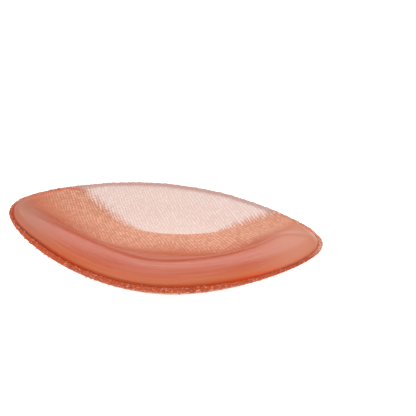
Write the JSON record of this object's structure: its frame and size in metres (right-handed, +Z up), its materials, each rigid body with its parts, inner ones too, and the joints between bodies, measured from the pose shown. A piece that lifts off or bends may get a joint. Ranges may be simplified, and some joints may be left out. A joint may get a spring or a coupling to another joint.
{
  "type": "gel bunion shield",
  "caption": "Almond-shaped cloth cup that lies open side up, with a soft gel pad inside: thick along the near side and at both ends, thin on the floor, open at the far rim.",
  "frame": {"origin": "on the resting surface, under the middle of the shield's length and width", "axes": "+X along the length towards the slightly sharper tip, +Y across towards the side where the cloth is bare, +Z up out of the open hollow"},
  "size_m": [0.0802, 0.0434, 0.0135],
  "materials": {
    "nylon_cloth": "satin tricot weave",
    "soft_gel": "smooth, slightly glossy gel"
  },
  "bodies": {
    "root": {"cover": "nylon_cloth", "gel_pad": "soft_gel"}
  },
  "joints": []
}
